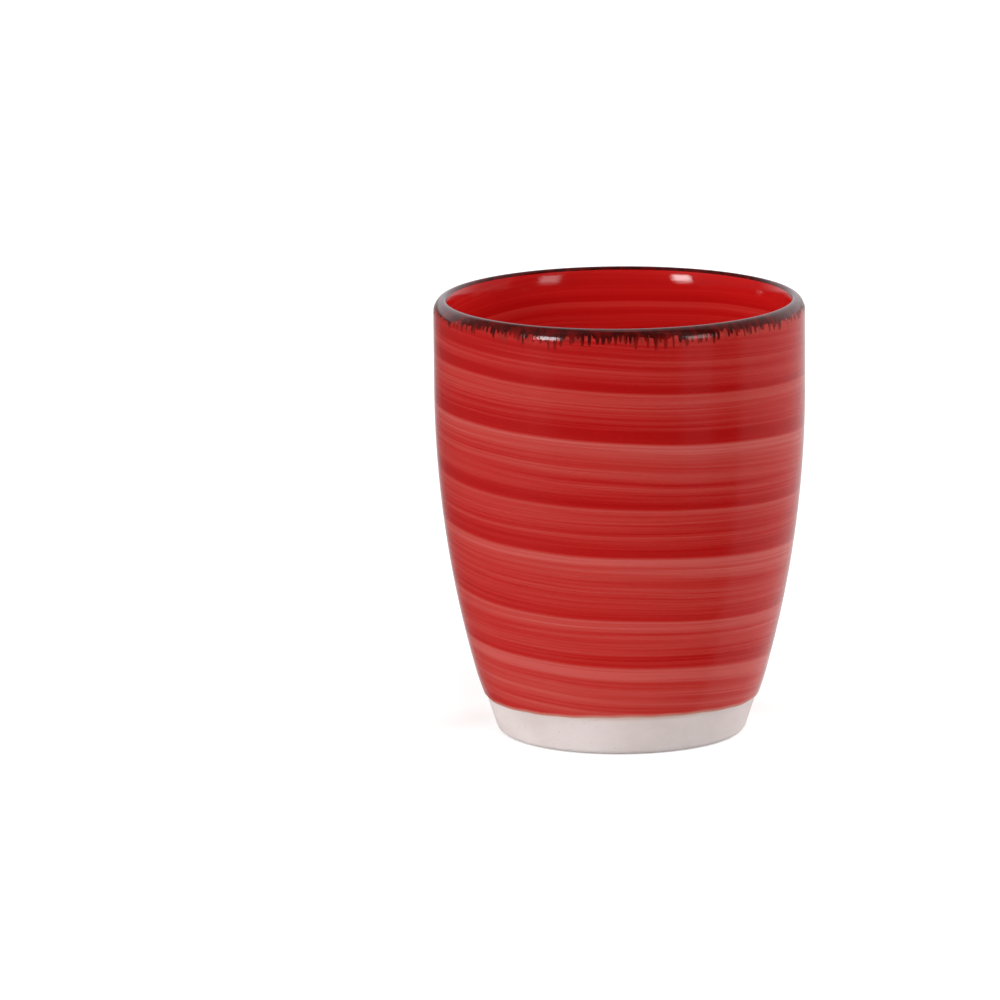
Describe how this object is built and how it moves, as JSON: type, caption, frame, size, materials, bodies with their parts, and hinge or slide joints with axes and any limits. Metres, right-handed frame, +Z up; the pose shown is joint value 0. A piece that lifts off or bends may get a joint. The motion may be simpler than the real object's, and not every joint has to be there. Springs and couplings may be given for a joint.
{
  "type": "coffee mug",
  "caption": "Handleless coffee mug in glazed stoneware with a rounded taper, red brushed bands outside, a red lining, a dark brown lip and a bare pale foot.",
  "frame": {"origin": "centre of the foot ring's resting plane", "axes": "+Z up along the axis that the mug is turned about, out of its mouth; X and Y are free, because the mug is round"},
  "size_m": [0.072, 0.072, 0.0853],
  "materials": {
    "bare_stoneware": "matte",
    "red_glaze": "gloss",
    "red_lining_glaze": "gloss",
    "dark_rim_glaze": "gloss"
  },
  "bodies": {
    "root": {"stoneware_body": "bare_stoneware", "outer_glaze": "red_glaze", "inner_glaze": "red_lining_glaze", "rim_glaze": "dark_rim_glaze"}
  },
  "joints": []
}
